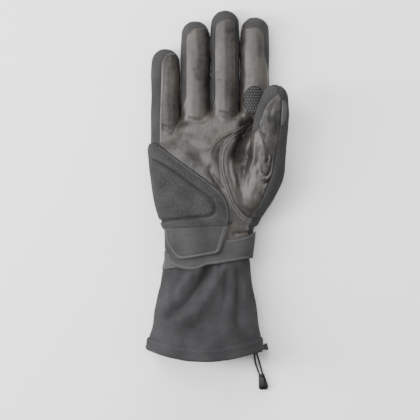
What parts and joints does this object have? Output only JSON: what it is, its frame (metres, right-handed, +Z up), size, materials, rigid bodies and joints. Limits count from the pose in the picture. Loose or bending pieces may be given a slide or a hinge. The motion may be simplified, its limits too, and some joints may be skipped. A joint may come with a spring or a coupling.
{
  "type": "winter gauntlet glove",
  "caption": "Right-hand insulated winter gauntlet glove, palm up, with leather palm, padded heel guard, wrist strap, flared cuff and drawcord hem.",
  "frame": {"origin": "a point on the flattened back of the hand, which the glove rests on, near the middle of its length and width", "axes": "+Z up out of the palm, +Y from the cuff to the fingertips, +X towards the thumb"},
  "size_m": [0.1332, 0.3548, 0.0619],
  "materials": {
    "palm_leather": "smooth, slightly greasy full-grain or coated goat leather",
    "softshell": "matte woven stretch softshell",
    "lining": "brushed fleece bonded to insulation and membrane",
    "guard_fabric": "coarse matte abrasion-resistant textile",
    "foam": "closed-cell foam",
    "webbing": "laminated woven strap",
    "hook_tape": "hook and loop tape",
    "grip_rubber": "printed grip coating",
    "elastic_cord": "braided elastic cord",
    "moulded_plastic": "moulded, half gloss",
    "spring_steel": "drawn wire"
  },
  "bodies": {
    "hand": {"palm_leather": "palm_leather", "hand_back": "softshell", "hand_lining": "lining", "mound_leather": "palm_leather", "mound_back": "softshell", "mound_lining": "lining", "heel_guard_cover": "guard_fabric", "heel_guard_foam": "foam"},
    "cuff": {"cuff_shell": "softshell", "cuff_lining": "lining", "cuff_hem": "softshell", "strap_loop": "hook_tape", "drawcord": "elastic_cord", "cord_lock_body": "moulded_plastic", "cord_lock_spring": "spring_steel"},
    "strap": {"wrist_strap": "webbing", "strap_hook": "hook_tape"},
    "flap": {"heel_flap": "guard_fabric", "flap_hook": "hook_tape"},
    "lock_plunger": {"cord_lock_plunger": "moulded_plastic"},
    "cord_pull": {"cord_end": "moulded_plastic", "drawcord_strand_left": "elastic_cord", "drawcord_strand_right": "elastic_cord"},
    "index_lower": {"index_leather_lower": "palm_leather", "index_back_lower": "softshell", "index_lining_lower": "lining", "index_grip_patch": "grip_rubber"},
    "index_upper": {"index_leather_upper": "palm_leather", "index_back_upper": "softshell", "index_lining_upper": "lining"},
    "middle_lower": {"middle_leather_lower": "palm_leather", "middle_back_lower": "softshell", "middle_lining_lower": "lining"},
    "middle_upper": {"middle_leather_upper": "palm_leather", "middle_back_upper": "softshell", "middle_lining_upper": "lining"},
    "ring_lower": {"ring_leather_lower": "palm_leather", "ring_back_lower": "softshell", "ring_lining_lower": "lining"},
    "ring_upper": {"ring_leather_upper": "palm_leather", "ring_back_upper": "softshell", "ring_lining_upper": "lining"},
    "little_lower": {"little_leather_lower": "palm_leather", "little_back_lower": "softshell", "little_lining_lower": "lining"},
    "little_upper": {"little_leather_upper": "palm_leather", "little_back_upper": "softshell", "little_lining_upper": "lining"},
    "thumb_lower": {"thumb_leather_lower": "palm_leather", "thumb_back_lower": "softshell", "thumb_lining_lower": "lining"},
    "thumb_upper": {"thumb_leather_upper": "palm_leather", "thumb_back_upper": "softshell", "thumb_lining_upper": "lining", "thumb_side_patch": "guard_fabric"}
  },
  "joints": [
    {"name": "index_knuckle", "type": "hinge", "parent": "hand", "child": "index_lower", "pos_m": [0.0358, 0.062, 0.0205], "axis": [1, 0, 0], "range_deg": [0, 60]},
    {"name": "index_middle_joint", "type": "hinge", "parent": "index_lower", "child": "index_upper", "pos_m": [0.0358, 0.107, 0.0205], "axis": [1, 0, 0], "range_deg": [0, 60]},
    {"name": "middle_knuckle", "type": "hinge", "parent": "hand", "child": "middle_lower", "pos_m": [0.008, 0.062, 0.0205], "axis": [1, 0, 0], "range_deg": [0, 60]},
    {"name": "middle_middle_joint", "type": "hinge", "parent": "middle_lower", "child": "middle_upper", "pos_m": [0.008, 0.11, 0.0205], "axis": [1, 0, 0], "range_deg": [0, 60]},
    {"name": "ring_knuckle", "type": "hinge", "parent": "hand", "child": "ring_lower", "pos_m": [-0.0198, 0.062, 0.0205], "axis": [1, 0, 0], "range_deg": [0, 60]},
    {"name": "ring_middle_joint", "type": "hinge", "parent": "ring_lower", "child": "ring_upper", "pos_m": [-0.0198, 0.106, 0.0205], "axis": [1, 0, 0], "range_deg": [0, 60]},
    {"name": "little_knuckle", "type": "hinge", "parent": "hand", "child": "little_lower", "pos_m": [-0.0476, 0.05, 0.0205], "axis": [1, 0, 0], "range_deg": [0, 60]},
    {"name": "little_middle_joint", "type": "hinge", "parent": "little_lower", "child": "little_upper", "pos_m": [-0.0476, 0.087, 0.0205], "axis": [1, 0, 0], "range_deg": [0, 60]},
    {"name": "thumb_swing", "type": "hinge", "parent": "hand", "child": "thumb_lower", "pos_m": [0.05592, 0.01645, 0.03497], "axis": [0.3261, 0.2142, -0.9207], "range_deg": [0, 30]},
    {"name": "thumb_middle_joint", "type": "hinge", "parent": "thumb_lower", "child": "thumb_upper", "pos_m": [0.0474, 0.05143, 0.04661], "axis": [0.942, -0.1553, 0.2975], "range_deg": [0, 40]},
    {"name": "wrist_bend", "type": "hinge", "parent": "hand", "child": "cuff", "pos_m": [-0.007, -0.056, 0.0205], "axis": [1, 0, 0], "range_deg": [0, 24]},
    {"name": "flap_lift", "type": "hinge", "parent": "hand", "child": "flap", "pos_m": [-0.0185, -0.0385, 0.0459], "axis": [-1, 0, 0], "range_deg": [0, 120]},
    {"name": "strap_peel", "type": "hinge", "parent": "hand", "child": "strap", "pos_m": [0.0372, -0.056, 0.0182], "axis": [0, 1, 0], "range_deg": [0, 15]},
    {"name": "plunger_press", "type": "slide", "parent": "cuff", "child": "lock_plunger", "axis": [-0.9703, -0.2419, 0], "range_m": [0, 0.0022], "stiffness_N_per_m": 500, "springref_m": -0.002, "deforming": ["cord_lock_spring"]},
    {"name": "drawcord_slide", "type": "slide", "parent": "cuff", "child": "cord_pull", "axis": [0.1701, -0.9854, 0], "range_m": [0, 0.03], "deforming": ["drawcord_strand_left", "drawcord_strand_right"]}
  ],
  "couplings": [
    {"joint": "thumb_swing", "follows": "index_knuckle", "ratio": 0.5},
    {"joint": "strap_peel", "follows": "flap_lift", "ratio": 0.12}
  ]
}
